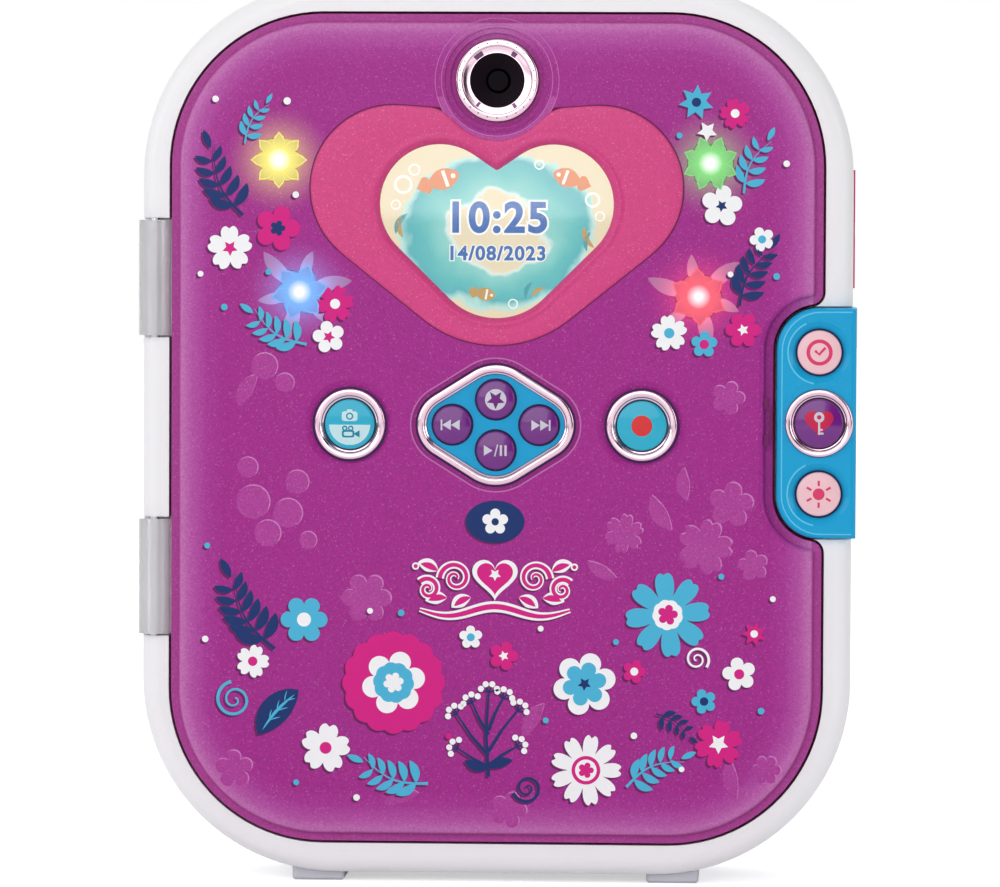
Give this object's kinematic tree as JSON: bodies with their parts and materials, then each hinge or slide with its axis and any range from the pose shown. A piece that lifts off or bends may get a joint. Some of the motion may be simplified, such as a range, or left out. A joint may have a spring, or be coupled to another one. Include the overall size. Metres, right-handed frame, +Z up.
{
  "type": "electronic diary",
  "caption": "Hinged-lid electronic diary that stands upright: rounded case, framed display, push buttons, camera, motor lock and a tray for a notepad and pen.",
  "frame": {"origin": "on the surface the feet stand on, under the middle of the whole object", "axes": "+Z up along the case's height, +X to the right as seen from the front, +Y from the lid to the rear; the lid faces -Y"},
  "size_m": [0.1956, 0.0584, 0.2458],
  "materials": {
    "white_plastic": "satin moulded",
    "purple_plastic": "gloss over glitter",
    "heart_pink": "satin with glitter",
    "tray_pink": "fine satin",
    "blue_plastic": "satin moulded",
    "clear_plastic": "clear",
    "flower_plastic": "clear, lit from behind",
    "chrome": "plated",
    "steel": "plain",
    "black_plastic": "matt",
    "lens_glass": "coated",
    "display_glass": "lit display",
    "circuit_board": "solder mask",
    "foot_rubber": "matt",
    "pink_rubber": "matt",
    "card": "printed card",
    "paper": "uncoated",
    "cell_wrap": "gloss sleeve",
    "pen_plastic": "gloss",
    "bolt_plastic": "matt",
    "gear_plastic": "matt",
    "button_pink": "satin",
    "button_purple": "gloss",
    "button_cyan": "gloss"
  },
  "bodies": {
    "case": {"case_front_frame": "white_plastic", "case_rear_shell": "white_plastic", "inner_tray": "tray_pink", "feet": "foot_rubber", "hinge_pins": "steel", "case_screws": "steel", "battery_cells": "cell_wrap", "battery_springs": "steel", "battery_plates": "steel", "speaker": "black_plastic", "notepad_cover": "card", "notepad_pages": "paper", "pen_barrel": "pen_plastic", "pen_cap": "pen_plastic", "latch_housing": "blue_plastic", "key_ring": "chrome", "latch_board": "circuit_board", "latch_switches": "black_plastic", "lock_motor": "steel", "port_board": "circuit_board", "port_sockets": "steel"},
    "lid": {"lid_cover": "purple_plastic", "lid_hinge_knuckles": "clear_plastic", "lid_inner_panel": "tray_pink", "lid_keeper": "steel", "lid_screws": "steel", "heart_bezel": "heart_pink", "display_window": "clear_plastic", "display_panel": "display_glass", "camera_ring": "chrome", "camera_barrel": "black_plastic", "camera_lens": "lens_glass", "camera_sensor": "black_plastic", "nav_bezel": "chrome", "nav_plate": "blue_plastic", "photo_ring": "chrome", "record_ring": "chrome", "flower_windows": "flower_plastic", "flower_leds": "clear_plastic", "led_strips": "circuit_board", "lid_main_board": "circuit_board", "lid_switches": "black_plastic", "microphone": "steel"},
    "battery_door": {"battery_door": "white_plastic", "battery_door_screws": "steel"},
    "lock_bolt": {"lock_bolt": "bolt_plastic"},
    "lock_pinion": {"lock_pinion": "gear_plastic"},
    "port_cover": {"port_cover": "pink_rubber"},
    "clock_button": {"clock_button": "button_pink"},
    "key_button": {"key_button": "button_purple"},
    "light_button": {"light_button": "button_pink"},
    "star_button": {"star_button": "button_purple"},
    "previous_button": {"previous_button": "button_purple"},
    "next_button": {"next_button": "button_purple"},
    "play_button": {"play_button": "button_purple"},
    "photo_button": {"photo_button": "button_cyan"},
    "record_button": {"record_button": "button_cyan"}
  },
  "joints": [
    {"name": "lid_hinge", "type": "hinge", "parent": "case", "child": "lid", "pos_m": [-0.0934, -0.022, 0.1241], "axis": [0, 0, -1], "range_deg": [0, 120]},
    {"name": "clock_button_press", "type": "slide", "parent": "case", "child": "clock_button", "axis": [0, 1, 0], "range_m": [0, 0.0008], "stiffness_N_per_m": 500},
    {"name": "key_button_press", "type": "slide", "parent": "case", "child": "key_button", "axis": [0, 1, 0], "range_m": [0, 0.0008], "stiffness_N_per_m": 500},
    {"name": "light_button_press", "type": "slide", "parent": "case", "child": "light_button", "axis": [0, 1, 0], "range_m": [0, 0.0008], "stiffness_N_per_m": 500},
    {"name": "star_button_press", "type": "slide", "parent": "lid", "child": "star_button", "axis": [0, 1, 0], "range_m": [0, 0.0008], "stiffness_N_per_m": 500},
    {"name": "previous_button_press", "type": "slide", "parent": "lid", "child": "previous_button", "axis": [0, 1, 0], "range_m": [0, 0.0008], "stiffness_N_per_m": 500},
    {"name": "next_button_press", "type": "slide", "parent": "lid", "child": "next_button", "axis": [0, 1, 0], "range_m": [0, 0.0008], "stiffness_N_per_m": 500},
    {"name": "play_button_press", "type": "slide", "parent": "lid", "child": "play_button", "axis": [0, 1, 0], "range_m": [0, 0.0008], "stiffness_N_per_m": 500},
    {"name": "photo_button_press", "type": "slide", "parent": "lid", "child": "photo_button", "axis": [0, 1, 0], "range_m": [0, 0.0008], "stiffness_N_per_m": 500},
    {"name": "record_button_press", "type": "slide", "parent": "lid", "child": "record_button", "axis": [0, 1, 0], "range_m": [0, 0.0008], "stiffness_N_per_m": 500},
    {"name": "lock_bolt_slide", "type": "slide", "parent": "case", "child": "lock_bolt", "axis": [-1, 0, 0], "range_m": [0, 0.0055]},
    {"name": "lock_pinion_turn", "type": "hinge", "parent": "case", "child": "lock_pinion", "pos_m": [0.0854, -0.0166, 0.11744], "axis": [0, -1, 0], "range_deg": [-1, 107]},
    {"name": "port_cover_hinge", "type": "hinge", "parent": "case", "child": "port_cover", "pos_m": [0.0975, 0.0082, 0.1789], "axis": [0, 0, 1], "range_deg": [0, 100]},
    {"name": "battery_door_lift", "type": "slide", "parent": "case", "child": "battery_door", "axis": [0, 1, 0], "range_m": [0, 0.03]}
  ],
  "couplings": [
    {"joint": "lock_pinion_turn", "follows": "lock_bolt_slide", "rad_per_m": 333.33}
  ]
}
